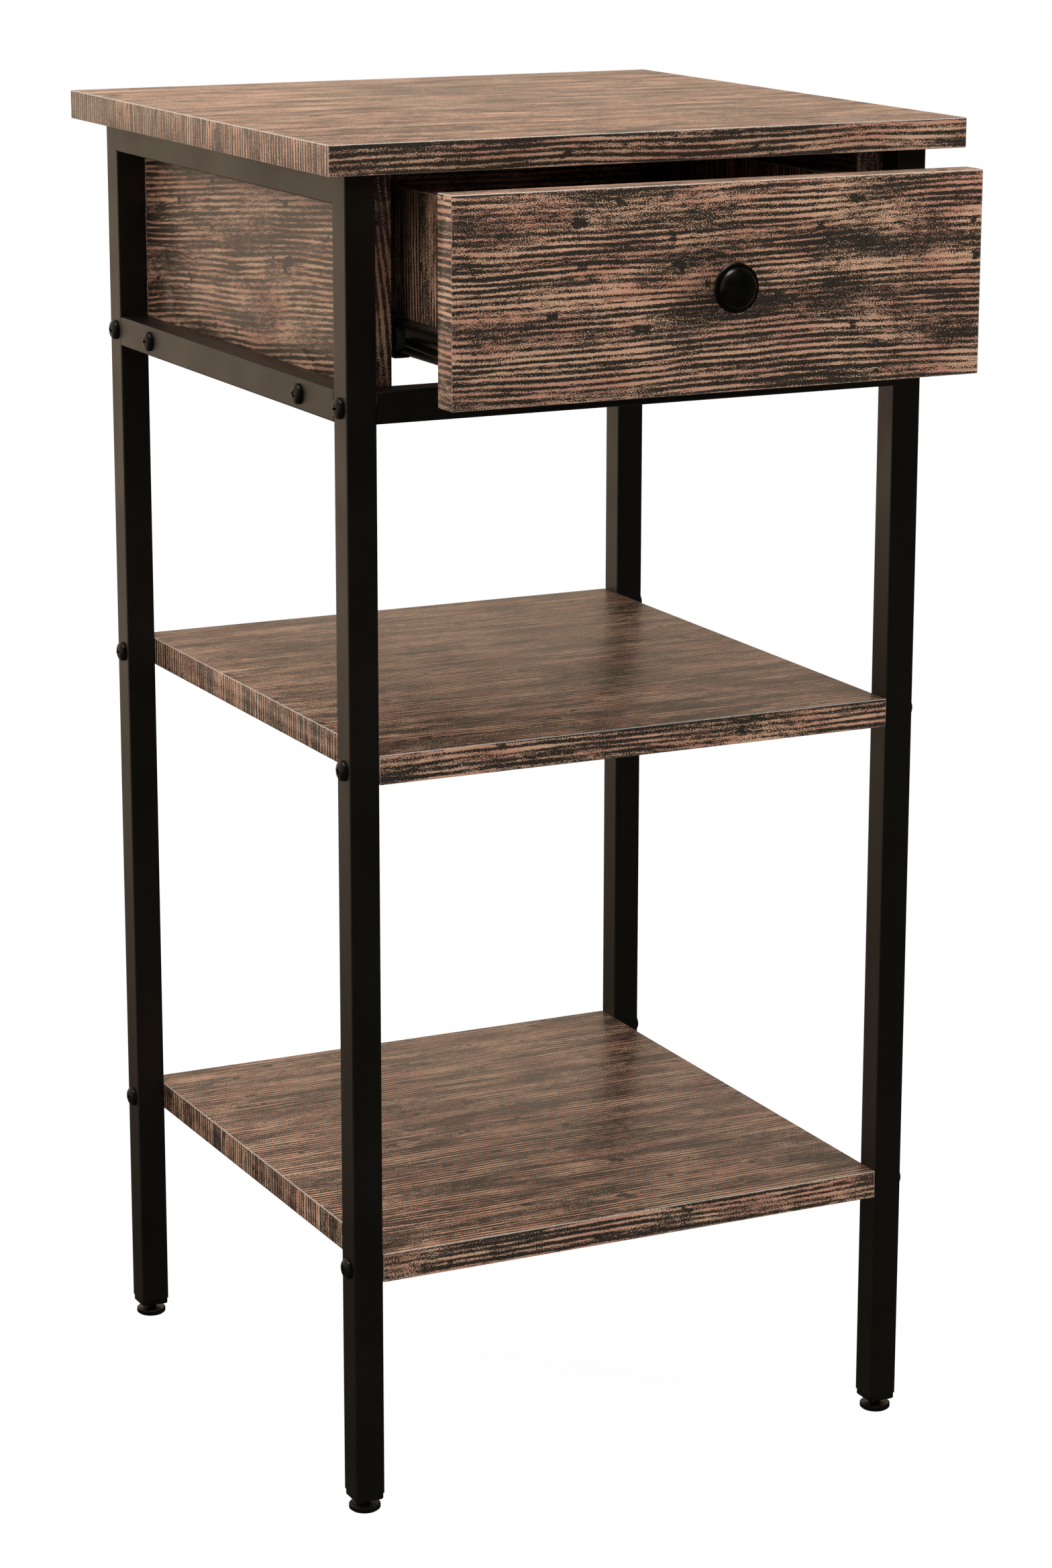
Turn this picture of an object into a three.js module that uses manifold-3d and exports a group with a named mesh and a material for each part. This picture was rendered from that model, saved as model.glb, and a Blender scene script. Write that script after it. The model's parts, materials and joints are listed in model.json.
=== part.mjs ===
// A small side table: two welded steel side frames joined by crossbars and two shelves,
// a wooden top, and one drawer on roller slides in a bay of wooden panels under the top.
//
// Millimetres. X runs across the table (left is -X), Y runs from front (-Y) to back, Z is up.
// The origin is on the floor, in the middle of the space that the table and its open drawer take.
import * as THREE from "three";
import { mergeVertices } from "three/addons/utils/BufferGeometryUtils.js";
import Module from "manifold-3d";

// Every size is rounded to a 64th of a millimetre, so that the faces of pieces that touch
// hold the same 32-bit numbers whatever size is changed.
const mm = (size) => Math.round(size * 64) / 64;

// ---- Overall sizes ----
const tableWidth = mm(350);
const tableDepth = mm(350);
const tableHeight = mm(700);
const topOverhang = mm(14.5); // from the frame's outer face to the top's edge
const boardThickness = mm(15);

// ---- Steel frame ----
const tubeSize = mm(16); // square tube, outside
const tubeWall = mm(1.2);
const tubeCorner = mm(1.2); // outside corner radius
const legBottom = mm(10); // height of the cut end of a leg above the floor
const crossbarPlug = mm(4); // thickness of the plate welded into each end of a crossbar

// ---- Heights ----
const bayHeight = mm(105); // clear height of the drawer bay, from the lower rails to the top
const middleShelfTop = mm(400);
const lowerShelfTop = mm(140);

// ---- Drawer ----
const drawerOpening = mm(81.25); // how far the drawer stands open in this pose
const frontGap = mm(1.5); // gap beside and below the drawer front in its bay
const frontTopGap = mm(3.5); // gap above it
const slideSpace = mm(12.5); // between a drawer side and the panel beside it
const drawerSideThickness = mm(12);
const drawerSideLift = mm(12); // drawer sides start this far above the front's lower edge
const drawerSideDrop = mm(8); // and end this far below its upper edge
const drawerRearGap = mm(30); // behind the closed drawer
const bottomThickness = mm(3);
const bottomLift = mm(8); // underside of the bottom panel above the drawer sides' lower edge
const grooveDepth = mm(5);
const grooveSlack = mm(0.5); // space left around the bottom panel in its grooves

// ---- Roller slides ----
const slideSheet = mm(1.25); // steel sheet
const slideSetback = mm(10); // slide length is the drawer box's less this
const rollerRadius = mm(7.5);
const rollerWidth = mm(5);
const rollerEdge = mm(0.5); // chamfer of its rims
const rollerStandoff = mm(2.25); // from the cabinet member's web to the roller
const rollerInset = mm(9); // roller centre from the end of its slide member
const axleRadius = mm(2);
const shoulderRadius = mm(3); // of an axle, between the web and the roller
const rivetRadius = mm(3.25);
const rivetThickness = mm(0.75);
const runningGap = mm(0.1); // on the radius of an axle or a thread
const rollerGap = mm(0.3125); // between a roller and the sheet that it runs on or beside
const cabinetFlangeWidth = mm(9.5);
const cabinetTopFlangeWidth = mm(7);
const cabinetHeadroom = mm(1.75); // between the drawer member's lip and the top flange over it
const cabinetDrop = mm(0.75); // the drawer sides' lower edge is this far below its flange's top
const drawerFlangeShort = mm(0.5); // the flange ends this far short of the drawer side's face

// ---- Levelling feet ----
const plugLip = mm(3.5); // plastic shown below the end of a leg
const plugInset = mm(0.3125); // its faces stand back from the leg's
const plugDepth = mm(18); // its length inside the leg
const plugSlack = mm(0.25); // on each side inside the leg
const plugChamfer = mm(0.5);
const footRadius = mm(8.25);
const footDiscHeight = mm(3.25);
const footChamfer = mm(0.75);
const studRadius = mm(3);
const studLength = mm(20);

// ---- Screws and knob ----
const shankRadius = mm(2);
const screwHeadRadius = mm(5.25);
const screwHeadHeight = mm(3.25);
const screwRimHeight = mm(1.3); // of the upright rim below the domed crown
const screwCrownSteps = 3;
const screwTipLength = mm(3);
const recessReach = mm(2.375); // from the middle of the head to the end of each slot
const recessHalfWidth = mm(0.55);
const recessFloor = mm(1.125); // above the underside of the head
const screwBite = mm(22); // length of shank inside a board's edge
const panelScrewBite = mm(11); // length of shank inside a board's face
const pilotSlack = mm(0.3125); // on the radius of a hole around a shank
const tipGap = mm(1); // between a screw's tip and the end of its hole
const panelScrewInset = mm(43); // from a panel's end to the screw through its rail
const topScrewInset = mm(45); // the same for the screws that hold the top
const accessRadius = mm(6); // of the holes that let the top's screws into the top rails
const knobRadius = mm(12);
const knobLift = mm(1.25); // its centre above the middle of the drawer front
const knobHeight = mm(18.25);
const knobRimLow = mm(9.125); // heights of the rim above the knob's foot
const knobRimTop = mm(11.6875);
const knobRimEdge = mm(0.5); // chamfer of the rim
const knobDomeRadius = mm(10.3125);
const knobDomeSteps = 6;
const knobNeck = [[mm(7), 0], [mm(6), mm(3.625)], [mm(7.4375), mm(6.9375)], [mm(10.8125), mm(8.625)]];
const knobScrewBite = mm(9);

const roundSegments = 24; // sides of turned pieces
const screwSegments = 12; // sides of screws and of the holes for them
const cornerSegments = 2; // steps round a tube's corner
const toolLead = mm(1); // a drill starts this far before the face that it enters

// ---- Places worked out from the sizes ----
const frameX = tableWidth / 2 - topOverhang; // outer faces of the side frames
const frameY = tableDepth / 2 - topOverhang; // front and rear faces of the frame
const legX = frameX - tubeSize / 2;
const legY = frameY - tubeSize / 2;
const innerX = frameX - tubeSize; // inner faces of the side frames
const innerY = frameY - tubeSize;
const topUnderside = tableHeight - boardThickness;
const railTop = topUnderside - bayHeight;
const railZ = railTop - tubeSize / 2;
const topRailZ = topUnderside - tubeSize / 2;
const panelBottom = railTop - tubeSize;
const panelHeight = topUnderside - panelBottom;
const panelInnerX = innerX - boardThickness;
const shelfScrewZ = (shelfTop) => shelfTop - boardThickness / 2;

const drawerFrontWidth = 2 * (innerX - frontGap);
const drawerFrontHeight = bayHeight - frontGap - frontTopGap;
const drawerFrontBottom = railTop + frontGap;
const drawerSideBottom = drawerFrontBottom + drawerSideLift;
const drawerSideHeight = drawerFrontHeight - drawerSideLift - drawerSideDrop;
const drawerOuterX = panelInnerX - slideSpace;
const drawerInnerX = drawerOuterX - drawerSideThickness;
const drawerBoxFront = -frameY + boardThickness; // back face of the closed drawer front
const drawerBoxBack = innerY - drawerRearGap;
const drawerBoxLength = drawerBoxBack - drawerBoxFront;
const slideLength = drawerBoxLength - slideSetback;
const drawerFrontZ = drawerFrontBottom + drawerFrontHeight / 2;
const knobZ = drawerFrontZ + knobLift;

// Heights in the slides, from the flange under the drawer side upwards.
const cabinetFlangeTop = drawerSideBottom + cabinetDrop;
const rollerZ = cabinetFlangeTop + rollerGap + rollerRadius;
const lipUnderside = rollerZ + rollerRadius + rollerGap;
const cabinetTop = lipUnderside + slideSheet + cabinetHeadroom + slideSheet;

const frontMost = frameY + drawerOpening + knobHeight;
const originY = (frontMost - tableDepth / 2) / 2; // moves the whole into the middle

// ---- Finishes ----
const coatedSteel = () =>
  new THREE.MeshStandardMaterial({ color: 0x1d1a17, roughness: 0.5, metalness: 0.3 });
const screwSteel = () =>
  new THREE.MeshStandardMaterial({ color: 0x161412, roughness: 0.35, metalness: 0.6 });
const brownBoard = () =>
  new THREE.MeshStandardMaterial({ color: 0x5e4638, roughness: 0.6, metalness: 0 });
const hardboard = () =>
  new THREE.MeshStandardMaterial({ color: 0x3a332e, roughness: 0.8, metalness: 0 });
const blackPlastic = () =>
  new THREE.MeshStandardMaterial({ color: 0x121110, roughness: 0.55, metalness: 0 });
const knobFinish = () =>
  new THREE.MeshStandardMaterial({ color: 0x14130f, roughness: 0.3, metalness: 0.2 });

// ---- Solids ----
const wasm = await Module();
wasm.setup();

// A closed geometry as a manifold solid, for cutting and joining.
function toSolid(geometry) {
  const bare = geometry.clone();
  bare.deleteAttribute("normal");
  bare.deleteAttribute("uv");
  const merged = mergeVertices(bare, 1e-4);
  return new wasm.Manifold(
    new wasm.Mesh({
      numProp: 3,
      vertProperties: merged.attributes.position.array,
      triVerts: new Uint32Array(merged.index.array),
    }),
  );
}

function toGeometry(solid) {
  const mesh = solid.getMesh();
  const geometry = new THREE.BufferGeometry();
  geometry.setAttribute("position", new THREE.BufferAttribute(mesh.vertProperties, 3));
  geometry.setIndex(new THREE.BufferAttribute(mesh.triVerts, 1));
  const faceted = geometry.toNonIndexed();
  faceted.computeVertexNormals();
  return faceted;
}

const cut = (geometry, tools) =>
  toGeometry(tools.reduce((solid, tool) => solid.subtract(toSolid(tool)), toSolid(geometry)));
const join = (...pieces) =>
  toGeometry(pieces.map(toSolid).reduce((whole, piece) => whole.add(piece)));

// The columns of each turn that points a piece's own +Z along a direction, in whole numbers
// so that no rounding creeps in.
const turns = {
  "+X": [[0, 1, 0], [0, 0, 1], [1, 0, 0]],
  "-X": [[0, -1, 0], [0, 0, 1], [-1, 0, 0]],
  "+Y": [[0, 0, 1], [1, 0, 0], [0, 1, 0]],
  "-Y": [[1, 0, 0], [0, 0, 1], [0, -1, 0]],
  "+Z": [[1, 0, 0], [0, 1, 0], [0, 0, 1]],
  "-Z": [[1, 0, 0], [0, -1, 0], [0, 0, -1]],
};

function turn(geometry, columns) {
  const [x, y, z] = columns.map((column) => new THREE.Vector3(...column));
  return geometry.applyMatrix4(new THREE.Matrix4().makeBasis(x, y, z));
}

const point = (geometry, direction) => turn(geometry, turns[direction]);

// three.js makes round shapes about Y: this stands them up along Z.
const standUp = (geometry) => turn(geometry, [[0, 1, 0], [0, 0, 1], [1, 0, 0]]);

// ---- Shapes ----
const board = (width, depth, height) => new THREE.BoxGeometry(width, depth, height);

// A box from its low corner to its high corner.
function block(low, high) {
  const [width, depth, height] = high.map((value, axis) => value - low[axis]);
  const [x, y, z] = high.map((value, axis) => (value + low[axis]) / 2);
  return board(width, depth, height).translate(x, y, z);
}

// A round bar that starts at the origin and runs along +Z.
function rod(radius, length, segments = screwSegments) {
  const bar = new THREE.CylinderGeometry(radius, radius, length, segments);
  return standUp(bar.translate(0, length / 2, 0));
}

// A turned piece from pairs of radius and height: it closes on the axis or on itself.
function turned(profile, segments = roundSegments) {
  const points = profile.map(([radius, height]) => new THREE.Vector2(radius, height));
  return standUp(new THREE.LatheGeometry(points, segments));
}

// A square outline with round corners, centred on the origin.
function squareOutline(size, corner, Outline = THREE.Shape) {
  const reach = size / 2 - corner;
  const outline = new Outline();
  outline.absarc(reach, reach, corner, 0, Math.PI / 2);
  outline.absarc(-reach, reach, corner, Math.PI / 2, Math.PI);
  outline.absarc(-reach, -reach, corner, Math.PI, 1.5 * Math.PI);
  outline.absarc(reach, -reach, corner, 1.5 * Math.PI, 2 * Math.PI);
  outline.closePath();
  return outline;
}

// A length of square tube along Z, centred, with open ends.
function tube(length) {
  const outline = squareOutline(tubeSize, tubeCorner);
  outline.holes.push(squareOutline(tubeSize - 2 * tubeWall, tubeCorner / 2, THREE.Path));
  const section = { depth: length, bevelEnabled: false, curveSegments: cornerSegments };
  return new THREE.ExtrudeGeometry(outline, section).translate(0, 0, -length / 2);
}

// The tool for a hole that starts at a point and runs along a direction. It starts a little
// before the point, so that it breaks the surface cleanly.
const pilotRadius = shankRadius + pilotSlack;
function drill(start, direction, depth, radius = pilotRadius, segments = screwSegments) {
  const bit = rod(radius, depth + toolLead, segments).translate(0, 0, -toolLead);
  return point(bit, direction).translate(...start);
}

// A screw with a low round head and a cross recess. Its head rests at the origin and rises
// along +Z, and its shank runs down.
function screw(shankLength) {
  const crown = [];
  for (let step = 0; step <= screwCrownSteps; step += 1) {
    const angle = (step / screwCrownSteps) * (Math.PI / 2);
    const rise = (screwHeadHeight - screwRimHeight) * Math.sin(angle);
    const radius = step === screwCrownSteps ? 0 : screwHeadRadius * Math.cos(angle);
    crown.push([radius, screwRimHeight + rise]);
  }
  const body = turned(
    [[0, -shankLength], [shankRadius, screwTipLength - shankLength], [shankRadius, 0],
      [screwHeadRadius, 0], ...crown],
    screwSegments,
  );
  const top = screwHeadHeight + toolLead;
  return cut(body, [
    block([-recessReach, -recessHalfWidth, recessFloor], [recessReach, recessHalfWidth, top]),
    block([-recessHalfWidth, -recessReach, recessFloor], [recessHalfWidth, recessReach, top]),
  ]);
}

// ---- Assembly ----
const table = new THREE.Group();
table.position.y = originY;
const drawer = new THREE.Group();
drawer.position.y = -drawerOpening;
table.add(drawer);

function place(group, name, geometry, material, x, y, z) {
  const mesh = new THREE.Mesh(geometry, material);
  mesh.name = name;
  mesh.position.set(x, y, z);
  group.add(mesh);
}

const sides = { left: -1, right: 1 };
const ends = { front: -1, rear: 1 };
const outward = { left: "-X", right: "+X" };
const inward = { left: "+X", right: "-X" };
const everyCorner = Object.keys(sides).flatMap((side) =>
  Object.keys(ends).map((end) => [side, end]),
);

// The screws that pass through each leg into a crossbar or a shelf, by name and height.
const legScrews = {
  crossbar: railZ,
  middle_shelf: shelfScrewZ(middleShelfTop),
  lower_shelf: shelfScrewZ(lowerShelfTop),
};
const panelScrewY = innerY - panelScrewInset;
const topScrewY = innerY - topScrewInset;
const legScrewLength = tubeSize + screwBite;
const panelScrewLength = tubeSize + panelScrewBite;

// Legs: drilled through for their screws.
const legLength = topUnderside - legBottom;
const legZ = legBottom + legLength / 2;
for (const [side, end] of everyCorner) {
  const holes = Object.values(legScrews).map((z) =>
    drill([sides[side] * (tubeSize / 2), 0, z - legZ], inward[side], tubeSize + toolLead),
  );
  const leg = cut(tube(legLength), holes);
  place(table, `${side}_${end}_leg`, leg, coatedSteel(), sides[side] * legX, ends[end] * legY, legZ);
}

// Side rails: welded between the legs, drilled through for the screws that they carry.
for (const side of Object.keys(sides)) {
  const x = sides[side] * legX;
  const railHoles = Object.values(ends).map((end) =>
    drill([sides[side] * (tubeSize / 2), end * panelScrewY, 0], inward[side], tubeSize + toolLead),
  );
  const topHoles = Object.values(ends).flatMap((end) => {
    const start = [0, end * topScrewY, -tubeSize / 2];
    return [
      drill(start, "+Z", tubeSize + toolLead),
      drill(start, "+Z", tubeSize / 2, accessRadius, roundSegments),
    ];
  });
  const rail = () => point(tube(2 * innerY), "+Y");
  place(table, `${side}_lower_rail`, cut(rail(), railHoles), coatedSteel(), x, 0, railZ);
  place(table, `${side}_top_rail`, cut(rail(), topHoles), coatedSteel(), x, 0, topRailZ);
}

// Crossbars: a plug welded into each end takes the screw from the leg.
function crossbar() {
  const length = 2 * innerX;
  const plugSize = tubeSize - tubeWall;
  const bar = point(tube(length), "+X");
  const plugs = Object.values(sides).map((sign) =>
    board(crossbarPlug, plugSize, plugSize).translate((sign * (length - crossbarPlug)) / 2, 0, 0),
  );
  const holes = Object.keys(sides).map((side) =>
    drill([(sides[side] * length) / 2, 0, 0], inward[side], crossbarPlug + toolLead),
  );
  return cut(join(bar, ...plugs), holes);
}
for (const end of Object.keys(ends)) {
  place(table, `${end}_crossbar`, crossbar(), coatedSteel(), 0, ends[end] * legY, railZ);
}

// The top: held from below by screws whose heads sit inside the top rails.
const topPilots = everyCorner.map(([side, end]) =>
  drill(
    [sides[side] * legX, ends[end] * topScrewY, -boardThickness / 2],
    "+Z",
    panelScrewBite + tipGap,
  ),
);
const top = cut(board(tableWidth, tableDepth, boardThickness), topPilots);
place(table, "tabletop", top, brownBoard(), 0, 0, tableHeight - boardThickness / 2);

// Shelves: between the side frames, flush with them in front and at the back.
const shelfWidth = 2 * innerX;
const shelfPilots = everyCorner.map(([side, end]) =>
  drill([(sides[side] * shelfWidth) / 2, ends[end] * legY, 0], inward[side], screwBite + tipGap),
);
for (const [name, height] of [["middle", middleShelfTop], ["lower", lowerShelfTop]]) {
  const shelf = cut(board(shelfWidth, 2 * frameY, boardThickness), shelfPilots);
  place(table, `${name}_shelf`, shelf, brownBoard(), 0, 0, height - boardThickness / 2);
}

// The drawer bay: a panel inside each side frame, and one between the rear legs that stands on
// the rear crossbar.
const panelZ = panelBottom + panelHeight / 2;
const panelX = innerX - boardThickness / 2;
for (const side of Object.keys(sides)) {
  const pilots = Object.values(ends).map((end) =>
    drill(
      [sides[side] * (boardThickness / 2), end * panelScrewY, railZ - panelZ],
      inward[side],
      panelScrewBite + tipGap,
    ),
  );
  const panel = cut(board(boardThickness, 2 * innerY, panelHeight), pilots);
  place(table, `${side}_side_panel`, panel, brownBoard(), sides[side] * panelX, 0, panelZ);
}
const backPanel = board(2 * innerX, boardThickness, bayHeight);
place(table, "back_panel", backPanel, brownBoard(), 0, innerY + boardThickness / 2,
  railTop + bayHeight / 2);

// Outside screws.
for (const [side, end] of everyCorner) {
  for (const [name, z] of Object.entries(legScrews)) {
    const fastener = point(screw(legScrewLength), outward[side]);
    place(table, `${side}_${end}_${name}_screw`, fastener, screwSteel(),
      sides[side] * frameX, ends[end] * legY, z);
  }
  const panelScrew = point(screw(panelScrewLength), outward[side]);
  place(table, `${side}_${end}_panel_screw`, panelScrew, screwSteel(),
    sides[side] * frameX, ends[end] * panelScrewY, railZ);
  const topScrew = point(screw(tubeWall + panelScrewBite), "-Z");
  place(table, `${side}_${end}_top_screw`, topScrew, screwSteel(),
    sides[side] * legX, ends[end] * topScrewY, topUnderside - tubeWall);
}

// Leg plugs and levelling feet: the foot's stud runs up inside the plug.
function legPlug() {
  const lipSize = tubeSize - 2 * plugInset;
  const chamfered = new THREE.ExtrudeGeometry(
    squareOutline(lipSize - 2 * plugChamfer, tubeCorner),
    {
      depth: plugLip,
      bevelThickness: plugChamfer,
      bevelSize: plugChamfer,
      bevelSegments: 1,
      curveSegments: cornerSegments,
    },
  ).translate(0, 0, plugChamfer);
  const aboveLip = block([-lipSize, -lipSize, plugLip], [lipSize, lipSize, 2 * tubeSize]);
  const insertSize = tubeSize - 2 * tubeWall - 2 * plugSlack;
  const insertLow = plugLip / 2; // the insert starts inside the lip, so that the two join
  const insertTop = plugLip + plugDepth;
  const insert = block(
    [-insertSize / 2, -insertSize / 2, insertLow],
    [insertSize / 2, insertSize / 2, insertTop],
  );
  const bore = drill(
    [0, 0, 0], "+Z", insertTop + toolLead, studRadius + runningGap, roundSegments);
  return cut(join(cut(chamfered, [aboveLip]), insert), [bore]);
}
function levellingFoot() {
  const studTop = footDiscHeight + studLength;
  return turned([
    [0, 0],
    [footRadius - footChamfer, 0],
    [footRadius, footChamfer],
    [footRadius, footDiscHeight - footChamfer / 2],
    [footRadius - footChamfer / 2, footDiscHeight],
    [studRadius, footDiscHeight],
    [studRadius, studTop - footChamfer],
    [studRadius - footChamfer, studTop],
    [0, studTop],
  ]);
}
for (const [side, end] of everyCorner) {
  const x = sides[side] * legX;
  const y = ends[end] * legY;
  place(table, `${side}_${end}_leg_plug`, legPlug(), blackPlastic(), x, y, legBottom - plugLip);
  place(table, `${side}_${end}_foot`, levellingFoot(), blackPlastic(), x, y, 0);
}

// ---- Drawer ----
const sideZ = drawerSideBottom + drawerSideHeight / 2;
const bottomZ = drawerSideBottom + bottomLift;
const boxMiddleY = (drawerBoxFront + drawerBoxBack) / 2;
const backInnerY = drawerBoxBack - drawerSideThickness;

// One groove runs round the inside of the drawer and holds the bottom panel.
const groove = block(
  [-drawerInnerX - grooveDepth, drawerBoxFront - grooveDepth, bottomZ],
  [drawerInnerX + grooveDepth, backInnerY + grooveDepth, bottomZ + bottomThickness + grooveSlack],
);
const grooved = (geometry, x, y, z) =>
  cut(geometry, [groove.clone().translate(-x, -y, -z)]);

const frontY = drawerBoxFront - boardThickness / 2;
const frontBoard = grooved(
  board(drawerFrontWidth, boardThickness, drawerFrontHeight), 0, frontY, drawerFrontZ);
const knobHole = drill([0, boardThickness / 2, knobLift], "-Y", boardThickness + toolLead);
place(drawer, "drawer_front", cut(frontBoard, [knobHole]), brownBoard(),
  0, frontY, drawerFrontZ);

for (const side of Object.keys(sides)) {
  const x = sides[side] * (drawerInnerX + drawerSideThickness / 2);
  const plank = board(drawerSideThickness, drawerBoxLength, drawerSideHeight);
  place(drawer, `drawer_${side}_side`, grooved(plank, x, boxMiddleY, sideZ), brownBoard(),
    x, boxMiddleY, sideZ);
}
const backPlank = board(2 * drawerInnerX, drawerSideThickness, drawerSideHeight);
const backY = drawerBoxBack - drawerSideThickness / 2;
place(drawer, "drawer_back", grooved(backPlank, 0, backY, sideZ), brownBoard(), 0, backY, sideZ);
const bottomPanel = block(
  [-drawerInnerX - grooveDepth + grooveSlack, drawerBoxFront - grooveDepth + grooveSlack, 0],
  [drawerInnerX + grooveDepth - grooveSlack, backInnerY + grooveDepth - grooveSlack,
    bottomThickness],
);
place(drawer, "drawer_bottom", bottomPanel, hardboard(), 0, 0, bottomZ);

// Knob: a neck that flares into a rim, and a dome on it, held from inside by a screw.
function drawerKnob() {
  const dome = [];
  for (let step = 0; step <= knobDomeSteps; step += 1) {
    const angle = (step / knobDomeSteps) * (Math.PI / 2);
    const rise = (knobHeight - knobRimTop) * Math.sin(angle);
    const radius = step === knobDomeSteps ? 0 : knobDomeRadius * Math.cos(angle);
    dome.push([radius, knobRimTop + rise]);
  }
  const body = turned([
    [0, 0],
    ...knobNeck,
    [knobRadius, knobRimLow],
    [knobRadius, knobRimTop - knobRimEdge],
    [knobRadius - knobRimEdge, knobRimTop],
    ...dome,
  ]);
  return cut(body, [drill([0, 0, 0], "+Z", knobScrewBite + tipGap)]);
}
const knobY = -frameY;
place(drawer, "knob", point(drawerKnob(), "-Y"), knobFinish(), 0, knobY, knobZ);
const knobScrew = point(screw(boardThickness + knobScrewBite), "+Y");
place(drawer, "knob_screw", knobScrew, screwSteel(), 0, drawerBoxFront, knobZ);

// ---- Roller slides ----
// Across a slide, distances are from the panel's inner face towards the drawer side. Along it,
// they are from the front end backwards. For the left slide both match the table's own +X and +Y.
const drawerWeb = slideSpace - slideSheet;
const nearFace = slideSheet + rollerStandoff; // of both rollers, from the panel

// A shouldered axle with a riveted head: it stands on a web and holds a roller.
function axle(webFace, direction, along) {
  const shoulder = direction * (direction > 0 ? nearFace - rollerGap - webFace
    : nearFace + rollerWidth + rollerGap - webFace);
  const whole = shoulder + rollerWidth + 2 * rollerGap;
  const profile = turned([
    [0, -slideSheet / 2],
    [shoulderRadius, -slideSheet / 2],
    [shoulderRadius, shoulder],
    [axleRadius, shoulder],
    [axleRadius, whole],
    [rivetRadius, whole],
    [rivetRadius, whole + rivetThickness],
    [0, whole + rivetThickness],
  ], screwSegments);
  return point(profile, direction > 0 ? "+X" : "-X").translate(webFace, along, rollerZ);
}
const slideBar = (low, high, bottom, topHeight) =>
  block([low, 0, bottom], [high, slideLength, topHeight]);

function cabinetSlide() {
  const flangeBottom = cabinetFlangeTop - slideSheet;
  return join(
    slideBar(0, slideSheet, flangeBottom, cabinetTop),
    slideBar(0, cabinetFlangeWidth, flangeBottom, cabinetFlangeTop),
    slideBar(0, cabinetTopFlangeWidth, cabinetTop - slideSheet, cabinetTop),
    axle(slideSheet, 1, rollerInset),
  );
}
function drawerSlide() {
  const flangeEnd = slideSpace + drawerSideThickness - drawerFlangeShort;
  return join(
    slideBar(drawerWeb, slideSpace, drawerSideBottom - slideSheet, lipUnderside + slideSheet),
    slideBar(drawerWeb, flangeEnd, drawerSideBottom - slideSheet, drawerSideBottom),
    slideBar(nearFace, slideSpace, lipUnderside, lipUnderside + slideSheet),
    axle(drawerWeb, -1, slideLength - rollerInset),
  );
}

// The right-hand slides mirror the left-hand ones.
function handed(geometry, side) {
  if (side === "left") return geometry;
  const mirrored = geometry.clone().scale(-1, 1, 1);
  const positions = mirrored.attributes.position;
  const corner = (index) => new THREE.Vector3().fromBufferAttribute(positions, index);
  for (let face = 0; face < positions.count; face += 3) {
    const [second, third] = [corner(face + 1), corner(face + 2)];
    positions.setXYZ(face + 1, third.x, third.y, third.z);
    positions.setXYZ(face + 2, second.x, second.y, second.z);
  }
  mirrored.computeVertexNormals();
  return mirrored;
}
function roller() {
  const bore = axleRadius + runningGap;
  return turned([
    [bore, 0],
    [rollerRadius - rollerEdge, 0],
    [rollerRadius, rollerEdge],
    [rollerRadius, rollerWidth - rollerEdge],
    [rollerRadius - rollerEdge, rollerWidth],
    [bore, rollerWidth],
    [bore, 0],
  ]);
}
for (const side of Object.keys(sides)) {
  const panelFace = sides[side] * panelInnerX;
  const rollerX = sides[side] * (panelInnerX - nearFace);
  const wheel = () => point(roller(), inward[side]);
  place(table, `${side}_cabinet_slide`, handed(cabinetSlide(), side), coatedSteel(),
    panelFace, -innerY, 0);
  place(table, `${side}_front_roller`, wheel(), blackPlastic(),
    rollerX, -innerY + rollerInset, rollerZ);
  place(drawer, `${side}_drawer_slide`, handed(drawerSlide(), side), coatedSteel(),
    panelFace, drawerBoxFront, 0);
  place(drawer, `${side}_rear_roller`, wheel(), blackPlastic(),
    rollerX, drawerBoxFront + slideLength - rollerInset, rollerZ);
}

export default table;
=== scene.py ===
# %% [markdown]
# # A side table with a drawer
# The steel frame, the boards, the slides and everything that moves come ready made from the
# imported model. This lesson gives them their finishes, swaps the small turned and bent parts
# for finer ones, and sets a camera and lights. Sizes are in metres.

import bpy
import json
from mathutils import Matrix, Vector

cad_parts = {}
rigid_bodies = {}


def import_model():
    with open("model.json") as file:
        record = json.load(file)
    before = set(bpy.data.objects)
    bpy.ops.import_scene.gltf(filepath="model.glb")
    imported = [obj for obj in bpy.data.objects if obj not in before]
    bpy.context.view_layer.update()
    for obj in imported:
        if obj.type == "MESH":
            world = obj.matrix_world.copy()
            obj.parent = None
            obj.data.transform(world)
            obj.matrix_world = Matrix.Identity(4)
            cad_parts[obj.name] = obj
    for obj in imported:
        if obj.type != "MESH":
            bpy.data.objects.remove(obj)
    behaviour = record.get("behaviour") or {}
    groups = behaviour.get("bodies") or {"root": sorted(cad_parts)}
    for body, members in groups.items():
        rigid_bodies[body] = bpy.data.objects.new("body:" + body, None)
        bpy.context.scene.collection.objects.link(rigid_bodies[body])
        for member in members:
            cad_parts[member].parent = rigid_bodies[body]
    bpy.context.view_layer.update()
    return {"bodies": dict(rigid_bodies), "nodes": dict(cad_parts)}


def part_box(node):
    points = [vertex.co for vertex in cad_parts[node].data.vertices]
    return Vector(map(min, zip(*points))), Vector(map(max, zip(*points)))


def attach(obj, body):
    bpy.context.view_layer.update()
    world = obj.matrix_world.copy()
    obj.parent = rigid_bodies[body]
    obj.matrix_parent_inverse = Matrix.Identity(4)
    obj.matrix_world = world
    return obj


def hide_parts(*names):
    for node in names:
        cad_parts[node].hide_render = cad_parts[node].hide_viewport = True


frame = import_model()

import json
from math import cos, pi, radians, sin

import bmesh
import bpy
from mathutils import Matrix, Vector

MM = 0.001

# %% [markdown]
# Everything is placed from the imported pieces. The middle of the tabletop is the middle of
# the table, and the open drawer only shifts the model's own origin a little.

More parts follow.
